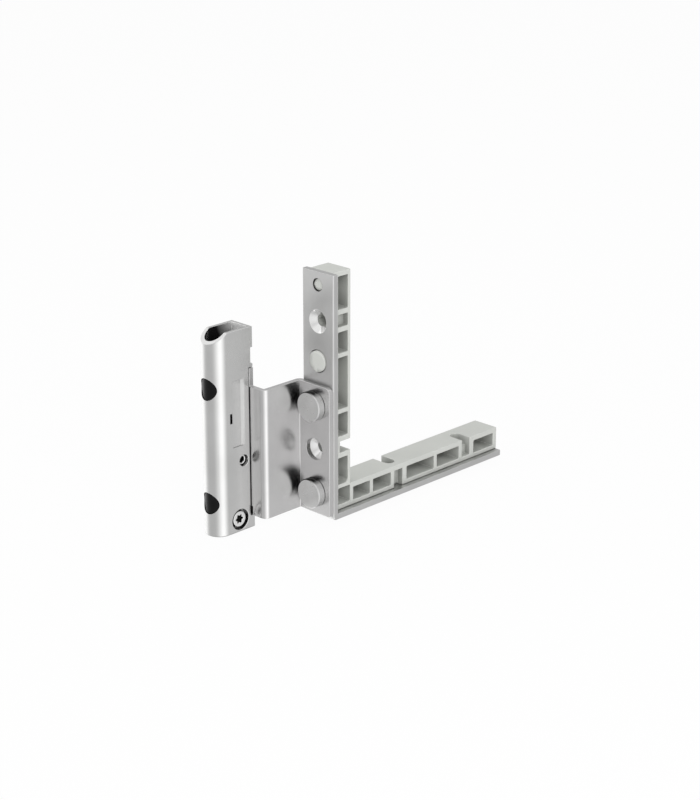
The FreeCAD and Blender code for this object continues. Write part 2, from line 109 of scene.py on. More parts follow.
def vectorNode(tree, operation, first, second=None):
    node = addNode(tree, "ShaderNodeVectorMath", operation=operation)
    tree.links.new(first, node.inputs[0])
    if second is not None:
        tree.links.new(second, node.inputs[1])
    return node.outputs["Value" if operation in ("DOT_PRODUCT", "LENGTH") else "Vector"]


def rangeNode(tree, value, fromLow, fromHigh, toLow, toHigh):
    node = addNode(tree, "ShaderNodeMapRange", clamp=True)
    tree.links.new(value, node.inputs["Value"])
    limits = {"From Min": fromLow, "From Max": fromHigh, "To Min": toLow, "To Max": toHigh}
    for label, limit in limits.items():
        feedSocket(tree, node.inputs[label], limit)
    return node.outputs["Result"]


# inputs 6 and 7 and output 2 are the mix node's colours
def mixColour(tree, factor, first, second):
    node = addNode(tree, "ShaderNodeMix", data_type="RGBA")
    tree.links.new(factor, node.inputs["Factor"])
    for socket, value in ((node.inputs[6], first), (node.inputs[7], second)):
        feedSocket(tree, socket, (*value, 1) if isinstance(value, tuple) else value)
    return node.outputs[2]


def objectPlace(tree):
    return addNode(tree, "ShaderNodeTexCoord").outputs["Object"]


def noiseNode(tree, place, scale, **settings):
    node = fillInputs(addNode(tree, "ShaderNodeTexNoise"), **settings)
    tree.links.new(place, node.inputs["Vector"])
    feedSocket(tree, node.inputs["Scale"], scale)
    return node.outputs[0]


groupSet = {
    "noiseLow": 0.3, "noiseHigh": 0.7,  # most of a noise texture lies between these
    "broadShare": 0.25,  # scale of the broad streaks, as a share of the fine ones
    "flat": 0.995, "turned": 0.9,  # cosines of the turn at which wear starts and is full
    "chipLow": 0.35, "chipHigh": 0.6, "leastWear": 0.25,
    "leastShade": 0.7, "chatter": 2.3,
}


# grain: fine streaks or specks, drawn out along one way, and slow clouds
def makeSatinGrain():
    g = groupSet
    group, start, end = newGroup("satinGrain", [
        ("Stretch", "NodeSocketVector", (1, 1, 1)),
        ("Scale", "NodeSocketFloat", 3000),
        ("Cloud Scale", "NodeSocketFloat", 60),
    ], ["Height", "Streak", "Cloud"])
    place = objectPlace(group)
    drawn = vectorNode(group, "MULTIPLY", place, start.outputs["Stretch"])
    broadScale = mathNode(group, "MULTIPLY", start.outputs["Scale"], g["broadShare"])
    fine = noiseNode(group, drawn, start.outputs["Scale"], Detail=2.5, Roughness=0.6)
    broad = noiseNode(group, drawn, broadScale, Detail=3.0, Roughness=0.55)
    cloud = noiseNode(group, place, start.outputs["Cloud Scale"], Detail=3.0, Roughness=0.5)
    group.links.new(fine, end.inputs["Height"])
    for label, noise in (("Streak", broad), ("Cloud", cloud)):
        spread = rangeNode(group, noise, g["noiseLow"], g["noiseHigh"], 0, 1)
        group.links.new(spread, end.inputs[label])
    return group


# wear: a broken line along edges, where the finish is rubbed bright
def makeEdgeWear():
    g = groupSet
    group, start, end = newGroup("edgeWear", [
        ("Radius", "NodeSocketFloat", 0.0004),
        ("Break Scale", "NodeSocketFloat", 900),
    ], ["Mask"])
    rounded = addNode(group, "ShaderNodeBevel", samples=6)
    group.links.new(start.outputs["Radius"], rounded.inputs["Radius"])
    plain = addNode(group, "ShaderNodeNewGeometry")
    facing = vectorNode(group, "DOT_PRODUCT", rounded.outputs[0], plain.outputs["True Normal"])
    edge = rangeNode(group, facing, g["flat"], g["turned"], 0, 1)
    chips = noiseNode(group, objectPlace(group), start.outputs["Break Scale"], Detail=3.0)
    broken = rangeNode(group, chips, g["chipLow"], g["chipHigh"], g["leastWear"], 1)
    group.links.new(mathNode(group, "MULTIPLY", edge, broken), end.inputs["Mask"])
    return group


# recesses: painted shade, darker where ambient occlusion finds that little light gets in
def makeRecessShade():
    g = groupSet
    group, start, end = newGroup("recessShade", [
        ("Reach", "NodeSocketFloat", 0.002),
        ("Open", "NodeSocketFloat", 0.9),
        ("Shut", "NodeSocketFloat", 0.25),
        ("Patch Scale", "NodeSocketFloat", 250),
    ], ["Mask"])
    hollow = addNode(group, "ShaderNodeAmbientOcclusion", samples=8)
    group.links.new(start.outputs["Reach"], hollow.inputs["Distance"])
    light = hollow.outputs["AO"]
    shade = rangeNode(group, light, start.outputs["Open"], start.outputs["Shut"], 0, 1)
    patch = noiseNode(group, objectPlace(group), start.outputs["Patch Scale"], Detail=2.0)
    uneven = rangeNode(group, patch, g["noiseLow"], g["noiseHigh"], g["leastShade"], 1)
    group.links.new(mathNode(group, "MULTIPLY", shade, uneven), end.inputs["Mask"])
    return group


# a mask for painted shade that rises along one way, by the surface's facing or by its place
def makeWayMask(name, source, startAt, fullAt):
    group, start, end = newGroup(name, [
        ("Way", "NodeSocketVector", (0, 0, 1)),
        ("Start", "NodeSocketFloat", startAt),
        ("Full", "NodeSocketFloat", fullAt),
    ], ["Mask"])
    place = addNode(group, "ShaderNodeTexCoord")
    along = vectorNode(group, "DOT_PRODUCT", place.outputs[source], start.outputs["Way"])
    mask = rangeNode(group, along, start.outputs["Start"], start.outputs["Full"], 0, 1)
    group.links.new(mask, end.inputs["Mask"])
    return group


# turning: rings round the middle of a turned piece
def makeTurnedRings():
    g = groupSet
    group, start, end = newGroup("turnedRings", [
        ("Middle", "NodeSocketVector", (0, 0, 0)),
        ("Across", "NodeSocketVector", (0, 1, 1)),
        ("Pitch", "NodeSocketFloat", 0.00025),
    ], ["Height"])
    offset = vectorNode(group, "SUBTRACT", objectPlace(group), start.outputs["Middle"])
    flat = vectorNode(group, "MULTIPLY", offset, start.outputs["Across"])
    turns = mathNode(group, "DIVIDE", vectorNode(group, "LENGTH", flat), start.outputs["Pitch"])
    wave = mathNode(group, "SINE", mathNode(group, "MULTIPLY", turns, 2 * math.pi), 0)
    spread = addNode(group, "ShaderNodeCombineXYZ")
    group.links.new(turns, spread.inputs[0])
    chatter = noiseNode(group, spread.outputs[0], g["chatter"], Detail=1.0)
    depth = mathNode(group, "MULTIPLY", wave, chatter)
    height = rangeNode(group, depth, -g["noiseHigh"], g["noiseHigh"], 0, 1)
    group.links.new(height, end.inputs["Height"])
    return group


satinGrain = makeSatinGrain()
edgeWear = makeEdgeWear()
recessShade = makeRecessShade()
sideShadeMask = makeWayMask("sideShadeMask", "Normal", 0.2, 0.6)  # painted shade on sides that face one way
depthShadeMask = makeWayMask("depthShadeMask", "Object", 0.0, 0.01)  # painted shade that deepens along one way, such as down into a hollow
turnedRings = makeTurnedRings()
print("node groups ready")

finishSet = {
    "bumpDepth": 0.02, "dullRough": 0.15,  # recesses are this much rougher
    "metal": 1, "ior": 1.5, "recessLimits": (0.9, 0.25),  # for looks that don't say
}


def newFinish(name):
    material = bpy.data.materials.new(name)
    material.use_nodes = True
    tree = material.node_tree
    return material, tree, tree.nodes["Principled BSDF"]


def bumpFrom(tree, height, strength, under=None):
    depth = finishSet["bumpDepth"] * mm
    bump = fillInputs(addNode(tree, "ShaderNodeBump"), Strength=strength, Distance=depth)
    tree.links.new(height, bump.inputs["Height"])
    if under is not None:
        tree.links.new(under, bump.inputs["Normal"])
    return bump.outputs["Normal"]


# what all finishes share: grain, a tone with rubbed edges, and a painted shade in the recesses
def surfaceTone(tree, look):
    grain = placeGroup(tree, satinGrain, Stretch=look["stretch"], Scale=look["grain"])
    grain.inputs["Cloud Scale"].default_value = look["cloud"]
    wear = placeGroup(tree, edgeWear, Radius=look["wearRadius"] * mm)
    openAt, shutAt = look.get("recessLimits", finishSet["recessLimits"])
    reach = look["recessReach"] * mm
    hollow = placeGroup(tree, recessShade, Reach=reach, Open=openAt, Shut=shutAt)
    tone = mixColour(tree, grain.outputs["Cloud"], look["dark"], look["light"])
    rubbed = mathNode(tree, "MULTIPLY", wear.outputs["Mask"], look["wear"])
    tone = mixColour(tree, rubbed, tone, look["edge"])
    shadeMask = mathNode(tree, "MULTIPLY", hollow.outputs["Mask"], look["recess"])
    return grain, tone, shadeMask


# plated steel and cast metal: drawn grain, bright edges, recesses darkened with painted shade and
# made rougher, rings where turned
def satinMetal(name, look):
    material, tree, shader = newFinish(name)
    metal = look.get("metal", finishSet["metal"])
    fillInputs(shader, Metallic=metal, IOR=look.get("ior", finishSet["ior"]))
    grain, tone, shadeMask = surfaceTone(tree, look)
    # painted shade masks, for sides that face one way and for depth, join the recess shade
    for key, group in (("sideShade", sideShadeMask), ("depthShade", depthShadeMask)):
        if key in look:
            mask = placeGroup(tree, group, **look[key]).outputs["Mask"]
            shadeMask = mathNode(tree, "MAXIMUM", shadeMask, mask)
    # painted shade: the base colour goes towards the look's shade colour in recesses and along the
    # shade masks
    tree.links.new(mixColour(tree, shadeMask, tone, look["shadeColour"]), shader.inputs["Base Color"])
    gloss = rangeNode(tree, grain.outputs["Streak"], 0, 1, *look["rough"])
    dullGloss = mathNode(tree, "MULTIPLY", shadeMask, finishSet["dullRough"])
    tree.links.new(mathNode(tree, "ADD", gloss, dullGloss), shader.inputs["Roughness"])
    normal = bumpFrom(tree, grain.outputs["Height"], look["bump"])
    if "rings" in look:
        rings = placeGroup(tree, turnedRings, **look["rings"])
        normal = bumpFrom(tree, rings.outputs["Height"], look["ringBump"], normal)
    tree.links.new(normal, shader.inputs["Normal"])
    return material


# moulded plastic: fine eroded skin, slow tone drift, painted shade in the pockets
def mouldedPlastic(name, look):
    material, tree, shader = newFinish(name)
    fillInputs(shader, Metallic=0, IOR=look["ior"])
    grain, tone, shadeMask = surfaceTone(tree, look)
    # painted shade: the base colour goes towards the look's shade colour in the pockets
    tree.links.new(mixColour(tree, shadeMask, tone, look["shadeColour"]), shader.inputs["Base Color"])
    gloss = rangeNode(tree, grain.outputs["Streak"], 0, 1, *look["rough"])
    tree.links.new(gloss, shader.inputs["Roughness"])
    tree.links.new(bumpFrom(tree, grain.outputs["Height"], look["bump"]), shader.inputs["Normal"])
    return material


# a piece's look, with turning rings round its own axis
def turnedLook(s, middle, across):
    place = tuple(part * mm for part in middle)
    return dict(s["look"], rings={"Middle": place, "Across": across, "Pitch": s["ringPitch"] * mm})


# small rounds on the edges, by weight or above an angle, and flat faces keep flat shading
def roundEdges(piece, width, steps, angle=None):
    bevel = piece.modifiers.new("edgeRound", "BEVEL")
    bevel.limit_method = "WEIGHT"
    if angle is not None:
        bevel.limit_method = "ANGLE"
        bevel.angle_limit = math.radians(angle)
    bevel.width = width * mm
    bevel.segments = steps
    bevel.use_clamp_overlap = False
    bevel.loop_slide = False
    bevel.miter_outer = "MITER_ARC"
    bevel.face_strength_mode = "FSTR_ALL"
    shade = piece.modifiers.new("flatShade", "WEIGHTED_NORMAL")
    shade.mode = "CORNER_ANGLE"
    shade.use_face_influence = True
    shade.keep_sharp = False


# a round side about the z axis: how near to it, how upright and how square to it a face is
sideSet = {"near": 0.02, "upright": 0.1, "square": 0.97}


def fromAxis(place):
    return Vector((place.x, place.y, 0))


def onSide(out, radius, xEnd):
    return abs(out.length - radius * mm) < sideSet["near"] * mm and out.x < xEnd * mm


# edge rounds made part of the mesh, and true round shading for the side
def roundSide(piece, radius, xEnd):
    graph = bpy.context.evaluated_depsgraph_get()
    rounded = piece.evaluated_get(graph)
    mesh = bpy.data.meshes.new_from_object(rounded, preserve_all_data_layers=True, depsgraph=graph)
    piece.modifiers.clear()
    piece.data = mesh
    for face in mesh.polygons:
        out = fromAxis(face.center)
        upright = abs(face.normal.z) < sideSet["upright"]
        if upright and onSide(out, radius, xEnd) and face.normal.dot(out) < 0:
            face.flip()  # a fold left by the rounds
    mesh.update()
    normals = [corner.vector.copy() for corner in mesh.corner_normals]
    for face in mesh.polygons:
        outs = [fromAxis(mesh.vertices[vert].co) for vert in face.vertices]
        near = [onSide(out, radius, xEnd) for out in outs]
        for corner, out, isNear in zip(face.loop_indices, outs, near):
            square = out.normalized().dot(face.normal) > sideSet["square"]
            if all(near) or isNear and square:
                normals[corner] = out.normalized()
    mesh.normals_split_custom_set(normals)


def addPiece(name, form, body, slotName, materials, *nodes):
    mesh = bpy.data.meshes.new(name)
    form.to_mesh(mesh)
    form.free()
    if "custom_normal" in mesh.attributes:
        mesh.attributes.remove(mesh.attributes["custom_normal"])
    mesh.polygons.foreach_set("use_smooth", [True] * len(mesh.polygons))
    for material in materials:
        mesh.materials.append(material)
    piece = bpy.data.objects.new(name, mesh)
    scene.collection.objects.link(piece)
    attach(piece, body)
    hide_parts(*nodes)
    return piece


# dividing a solid: lengths in metres, turns in degrees
divideSet = {
    "weld": 1e-6, "touch": 4e-6, "rejoin": 2e-6,
    "places": 6,  # decimals to which two lengths count as equal
    "sharp": 30, "flat": 0.3, "straight": 0.99999,
    "facetTurn": 12, "facetLength": 8 * mm,  # facets of a long round side
    "leastRim": 0.2 * mm, "leastStep": 0.05 * mm, "rimGaps": 4,
    "idleTurn": 0.005, "idleRounds": 2,  # a corner's turn in radians
}


def edgeAngle(edge):
    return math.degrees(edge.calc_face_angle(0)) if len(edge.link_faces) == 2 else 0


def isSharp(edge):
    return edgeAngle(edge) > divideSet["sharp"]


# 0, 1 or 2 for an edge along x, y or z, and None for any other
def edgeAxis(edge):
    way = edge.verts[1].co - edge.verts[0].co
    for axis in range(3):
        if abs(way[axis]) > divideSet["straight"] * way.length:
            return axis
    return None


# edges that hang together, such as one rim of a hole
def edgeChains(edges):
    left = dict.fromkeys(edges)  # keeps its order, so each run gives the same form
    chains = []
    while left:
        todo = [left.popitem()[0]]
        chain = []
        while todo:
            edge = todo.pop()
            chain.append(edge)
            near = [other for vert in edge.verts for other in vert.link_edges if other in left]
            for other in near:
                left.pop(other, None)
            todo.extend(near)
        chains.append(chain)
    return chains


# the spot nearest to the middle, and the lower one of a pair
def middleSpot(spots):
    middle = (min(spots) + max(spots)) / 2
    return min(spots, key=lambda spot: (round(abs(spot - middle), divideSet["places"]), spot))


# where straight edges end, and the middles of round rims
def divideLevels(sharpEdges):
    found = [set(), set(), set()]
    for edge in sharpEdges:
        axis = edgeAxis(edge)
        if axis is not None:
            found[axis].update(vert.co[axis] for vert in edge.verts)
    for chain in edgeChains([edge for edge in sharpEdges if edgeAxis(edge) is None]):
        for axis in range(3):
            spots = [vert.co[axis] for edge in chain for vert in edge.verts]
            if max(spots) - min(spots) > divideSet["leastRim"]:
                found[axis].add(middleSpot(spots))
    levels = []
    for axis in range(3):
        kept = []
        for level in sorted(found[axis]):
            if not kept or level - kept[-1] > divideSet["leastStep"]:
                kept.append(level)
        levels.append(kept)
    return levels


# the axis of a long facet on a round side, which stays whole along it, or -1
def facetAxis(face):
    s = divideSet
    if max(abs(part) for part in face.normal) > s["straight"]:
        return -1
    for edge in face.edges:
        axis = edgeAxis(edge)
        turned = s["flat"] < edgeAngle(edge) < s["facetTurn"]
        if axis is not None and turned and edge.calc_length() > s["facetLength"]:
            return axis
    return -1


# a sharp edge at this corner runs close beside the level
def besideLevel(vert, sharp, axis, level):
    touch = divideSet["touch"]
    for edge in vert.link_edges:
        rise = abs(edge.other_vert(vert).co[axis] - vert.co[axis])
        apart = rise > touch or abs(vert.co[axis] - level) > touch
        if edge[sharp] and apart and rise < edge.calc_length() / 2:
            return True
    return False


# a level that would leave only a short piece of a round rim's edge
def cutsRim(edge, sharp, axis, level, gap):
    low, high = sorted(vert.co[axis] for vert in edge.verts)
    crossed = low < level - divideSet["touch"] and high > level + divideSet["touch"]
    short = edge.calc_length() < divideSet["rimGaps"] * gap
    return crossed and edge[sharp] and edgeAxis(edge) is None and short


# faces that a level may cut without leaving a strip too narrow for the round on its edge
def facesToCut(form, facet, sharp, axis, level, gap):
    touch = divideSet["touch"]
    found = []
    for face in form.faces:
        spots = [vert.co[axis] for vert in face.verts]
        crossed = min(spots) <= level - touch and max(spots) >= level + touch
        if face[facet] not in (-1, axis) or not crossed:
            continue
        close = [vert for vert in face.verts if abs(vert.co[axis] - level) < gap]
        tight = any(besideLevel(vert, sharp, axis, level) for vert in close)
        if not tight and not any(cutsRim(edge, sharp, axis, level, gap) for edge in face.edges):
            found.append(face)
    return found


def cutAtLevels(form, gap):
    levels = divideLevels([edge for edge in form.edges if isSharp(edge)])
    facet = form.faces.layers.int.new("facetAxis")
    for face in form.faces:
        face[facet] = facetAxis(face)
    sharp = form.edges.layers.int.new("sharpEdge")
    for edge in form.edges:
        edge[sharp] = isSharp(edge)
    for axis in range(3):
        way = Vector((axis == 0, axis == 1, axis == 2))
        for level in levels[axis]:
            faces = facesToCut(form, facet, sharp, axis, level, gap)
            edges = dict.fromkeys(edge for face in faces for edge in face.edges)
            verts = dict.fromkeys(vert for edge in edges for vert in edge.verts)
            bmesh.ops.bisect_plane(form, geom=[*verts, *edges, *faces], dist=divideSet["touch"],
                                   plane_co=way * level, plane_no=way)
    bmesh.ops.remove_doubles(form, verts=form.verts, dist=divideSet["rejoin"])


# slanting edges in flat faces go, and then corners that only lie along an edge
def dropSpare(form):
    s = divideSet
    spare = [edge for edge in form.edges if edgeAngle(edge) < s["flat"] and edgeAxis(edge) is None]
    bmesh.ops.dissolve_edges(form, edges=spare, use_verts=False, use_face_split=False)
    for again in range(s["idleRounds"]):
        idle = [vert for vert in form.verts
                if len(vert.link_edges) == 2 and vert.calc_edge_angle(1) < s["idleTurn"]]
        bmesh.ops.dissolve_verts(form, verts=idle, use_face_split=False, use_boundary_tear=False)


# sharp edges get the whole round, or the share of the last box that holds their middle
def weighEdges(form, shareBoxes):
    weight = form.edges.layers.float.new("bevel_weight_edge")
    for edge in form.edges:
        if isSharp(edge):
            middle = (edge.verts[0].co + edge.verts[1].co) / 2 / mm
            edge[weight] = 1
            for low, high, share in shareBoxes:
                if all(low[i] <= middle[i] <= high[i] for i in range(3)):
                    edge[weight] = share


# the solid's own form with its flat faces divided square, so that edge rounds run even
def dividedForm(node, gap, shareBoxes=()):
    form = bmesh.new()
    form.from_mesh(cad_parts[node].data)
    bmesh.ops.remove_doubles(form, verts=form.verts, dist=divideSet["weld"])
    cutAtLevels(form, gap * mm)
    dropSpare(form)
    weighEdges(form, shareBoxes)
    form.verts.index_update()
    return form


# rings of equal count, joined in order and closed at both ends
def loftRings(rings):
    form = bmesh.new()
    rows = [[form.verts.new(point) for point in ring] for ring in rings]
    count = len(rows[0])
    for low, high in zip(rows, rows[1:]):
        for i in range(count):
            form.faces.new((low[i], low[(i + 1) % count], high[(i + 1) % count], high[i]))
    form.faces.new(rows[0][::-1])
    form.faces.new(rows[-1])
    bmesh.ops.recalc_face_normals(form, faces=form.faces)
    form.verts.index_update()
    return form


# a ring round an axis: a place along it and a radius for each angle
def ringPoints(toPart, along, radiusAt, count):
    points = []
    for i in range(count):
        turn = 2 * math.pi * i / count
        radius = radiusAt(turn)
        points.append(toPart(along, radius * math.cos(turn), radius * math.sin(turn)))
    return points


def roundShape(radius):
    return lambda turn: radius


def hexShape(flats):
    return lambda turn: flats / 2 / math.cos((turn + math.pi / 6) % (math.pi / 3) - math.pi / 6)


def lobeShape(outer, inner):
    return lambda turn: (outer + inner) / 2 + (outer - inner) / 2 * math.cos(6 * turn)


def flatSided(radius, flat):
    return lambda turn: radius if radius * math.cos(turn) > flat else flat / math.cos(turn)


# rings from steps along an axis, each a place and a radius or a shape
def stepRings(toPart, steps, count):
    rings = []
    for along, shape in steps:
        radiusAt = shape if callable(shape) else roundShape(shape)
        rings.append(ringPoints(toPart, along, radiusAt, count))
    return rings


# a screw's places: its axis runs along y
def alongY(s):
    return lambda along, across, up: Vector((s["x"] + across, along, s["z"] + up)) * mm


threadSet = {"rows": 8, "flank": 2.4, "rootFlat": 0.1}  # rows of rings in a turn


# thread: the radius rises and falls once in each pitch, and the crest winds round the axis
def threadRings(toPart, start, end, root, crest, pitch, count):
    rows = max(2, round((end - start) / pitch * threadSet["rows"]))
    rings = []
    for k in range(rows + 1):
        along = start + (end - start) * k / rows

        def radiusAt(turn):
            phase = (along / pitch - turn / (2 * math.pi)) % 1
            slope = threadSet["flank"] * abs(phase - 0.5) - threadSet["rootFlat"]
            return root + (crest - root) * min(1, max(0, slope))

        rings.append(ringPoints(toPart, along, radiusAt, count))
    return rings


# steel angle
angleSet = {
    "edge": 0.12, "edgeSteps": 2, "gap": 0.18,
    "uprightHoles": (30.6, 80.1), "armHoles": (70.1, 109.6), "middle": -20.6,
    "sink": 4.7, "sinkTilt": 0.95,
    "look": {
        "dark": (0.60, 0.60, 0.595), "light": (0.68, 0.68, 0.675),
        "edge": (0.80, 0.80, 0.79), "shadeColour": (0.08, 0.08, 0.08),
        "stretch": (0.06, 1, 0.06), "grain": 5200, "cloud": 55, "rough": (0.28, 0.34),
        "bump": 0.035, "wearRadius": 0.35, "wear": 0.5,
        # painted shade on the strip along the plate's edge and in tight corners
        "recessReach": 3.0, "recess": 0.9, "recessLimits": (0.85, 0.4),
    },
    "sinkLook": {
        "dark": (0.74, 0.74, 0.735), "light": (0.84, 0.84, 0.835), "stretch": (1, 1, 1),
        "grain": 2600, "rough": (0.12, 0.2), "bump": 0.06, "recess": 0.5,
    },
}
angleFinish = satinMetal("satinAngleSteel", angleSet["look"])
sinkFinish = satinMetal("cutSinkSteel", {**angleSet["look"], **angleSet["sinkLook"]})


# slanted faces round a screw hole are its countersink
def inSink(face):
    s = angleSet
    middle = face.calc_center_median() / mm
    aside = middle.y - s["middle"]
    along = [middle.z - z for z in s["uprightHoles"]] + [middle.x - x for x in s["armHoles"]]
    slanted = max(abs(part) for part in face.normal) < s["sinkTilt"]
    return slanted and any(math.hypot(aside, way) < s["sink"] for way in along)


def makeAngle():
    s = angleSet
    form = dividedForm("corner_angle", s["gap"])
    for face in form.faces:
        face.material_index = int(inSink(face))
    finishes = [angleFinish, sinkFinish]
    angle = addPiece("steelAngle", form, "sash_bracket", "angle_steel", finishes, "corner_angle")
    roundEdges(angle, s["edge"], s["edgeSteps"])


makeAngle()
print("steel angle done")

# groove filler
fillerSet = {
    "edge": 0.28, "edgeSteps": 3, "gap": 0.4,
    "shares": [
        ((31, -26, 59), (33.5, -15, 100), 0),  # pegs of the upright
        ((120, -26, 3), (128, -15, 5.4), 0),  # peg of the arm
        ((35, -24.5, 5.4), (127.5, -16, 5.6), 0),  # screw ways, where they meet the strip
        ((34.2, -24.5, 6.5), (34.4, -16, 98.5), 0),
        ((67.7, -26.2, 11.0), (72.5, -14.4, 11.1), 0),  # floors of the notches
        ((107.2, -26.2, 11.0), (112, -14.4, 11.1), 0),
        ((37.7, -26.2, 28), (37.9, -14.4, 33.2), 0),
    ],
    "look": {
        "dark": (0.585, 0.598, 0.568), "light": (0.62, 0.632, 0.60),
        "edge": (0.68, 0.69, 0.66), "shadeColour": (0.20, 0.205, 0.19),
        "stretch": (1, 1, 1), "grain": 4200, "cloud": 70, "rough": (0.48, 0.60),
        "bump": 0.16, "ior": 1.47, "wearRadius": 0.4, "wear": 0.4,
        # painted shade: the pockets and gaps go towards the shade colour
        "recessReach": 6.0, "recess": 0.8,
    },
}


def makeFiller():
    s = fillerSet
    form = dividedForm("groove_filler", s["gap"], s["shares"])
    finish = mouldedPlastic("greyFillerPlastic", s["look"])
    filler = addPiece("grooveFiller", form, "sash_bracket", "filler_plastic", [finish],
                      "groove_filler")
    roundEdges(filler, s["edge"], s["edgeSteps"])


makeFiller()
print("groove filler done")

# folded hinge plate
plateSet = {
    "edge": 0.18, "edgeSteps": 3, "gap": 0.27,
    "shares": [((11.2, -1.5, 12), (13.5, 3.2, 60), 0)],  # tenon holes
    "look": {
        "dark": (0.64, 0.635, 0.635), "light": (0.70, 0.695, 0.695),
        "edge": (0.82, 0.815, 0.815), "shadeColour": (0.03, 0.03, 0.03),
        "stretch": (1, 1, 0.05), "grain": 4600, "cloud": 60, "rough": (0.25, 0.27),
        "bump": 0.02, "wearRadius": 0.35, "wear": 0.5,
        # painted shade, near black in the tight corners round the rivets and by the web
        "recessReach": 4.0, "recess": 0.95, "recessLimits": (0.5, 0.2),
    },
}


def makePlate():
    s = plateSet
    form = dividedForm("hinge_plate", s["gap"], s["shares"])
    finish = satinMetal("satinPlateSteel", s["look"])
    plate = addPiece("hingePlate", form, "sash_bracket", "plate_steel", [finish], "hinge_plate")
    roundEdges(plate, s["edge"], s["edgeSteps"])


makePlate()
print("hinge plate done")

# stud rivets: flat turned heads, shanks through plate and strip, tails spread in the filler
rivetSet = {
    "y": -20.6, "heights": {"Lower": 13.5, "Upper": 48.1}, "facets": 96,
    "crown": 26.5, "seat": 29.7, "head": 5.75, "chamfer": 0.3, "seatChamfer": 0.15,
    "groove": 0.12, "grooveStart": 28.3, "grooveEnd": 28.55,
    "shank": 3.0, "tailStart": 34.3, "tail": 4.0,
    "edge": 0.05, "edgeSteps": 2, "edgeTurn": 30, "ringPitch": 0.45,
    "look": {
        "dark": (0.65, 0.65, 0.645), "light": (0.73, 0.73, 0.725),
        "edge": (0.84, 0.84, 0.83), "shadeColour": (0.01, 0.01, 0.01),
        "stretch": (1, 1, 1), "grain": 5200, "cloud": 140, "rough": (0.27, 0.32),
        "bump": 0.012, "ringBump": 0.03, "wearRadius": 0.3, "wear": 0.4,
        # painted shade, near black round the head's seat
        "recessReach": 1.2, "recess": 0.9, "recessLimits": (0.7, 0.35),
        # painted shade on the sides that face the web and upwards
        "sideShade": {"Way": (0, 0.6, 0.8), "Start": 0.2, "Full": 0.55},
    },
}


def makeStudRivet(label, z):
    s = rivetSet
    node = "rivet_" + label.lower()
    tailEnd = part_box(node)[1].x / mm
    neck = s["head"] - s["groove"]

    def toPart(along, across, up):
        return Vector((along, s["y"] + across, z + up)) * mm

    steps = [
        (s["crown"], s["head"] - s["chamfer"]), (s["crown"] + s["chamfer"], s["head"]),
        (s["grooveStart"], s["head"]), (s["grooveStart"], neck),
        (s["grooveEnd"], neck), (s["grooveEnd"], s["head"]),
        (s["seat"] - s["seatChamfer"], s["head"]), (s["seat"], s["head"] - s["seatChamfer"]),
        (s["seat"], s["shank"]), (s["tailStart"], s["shank"]),
        (s["tailStart"], s["tail"]), (tailEnd, s["tail"]),
    ]
    form = loftRings(stepRings(toPart, steps, s["facets"]))
    finish = satinMetal("turnedRivet" + label, turnedLook(s, (0, s["y"], z), (0, 1, 1)))
    rivet = addPiece("studRivet" + label, form, "sash_bracket", "rivet_steel", [finish], node)
    roundEdges(rivet, s["edge"], s["edgeSteps"], s["edgeTurn"])


for label, z in rivetSet["heights"].items():
    makeStudRivet(label, z)
print("stud rivets done")

# pivot bushes
bushSet = {
    "edge": 0.12, "edgeSteps": 2, "gap": 0.18,
    "look": {
        "dark": (0.004, 0.004, 0.004), "light": (0.008, 0.008, 0.008),
        "edge": (0.02, 0.02, 0.02), "shadeColour": (0.002, 0.002, 0.002),
        "stretch": (1, 1, 0.06), "grain": 900, "cloud": 180, "rough": (0.20, 0.30),
        "bump": 0.25, "ior": 1.22, "wearRadius": 0.3, "wear": 0.4,
        "recessReach": 1.0, "recess": 0.5,
    },
}
bushFinish = mouldedPlastic("blackBushPlastic", bushSet["look"])
for label in ("Lower", "Upper"):
    node = "pivot_bush_" + label.lower()
    form = dividedForm(node, bushSet["gap"])
    bush = addPiece("pivotBush" + label, form, "hinge_body", "bush_plastic", [bushFinish], node)
    roundEdges(bush, bushSet["edge"], bushSet["edgeSteps"])
print("pivot bushes done")

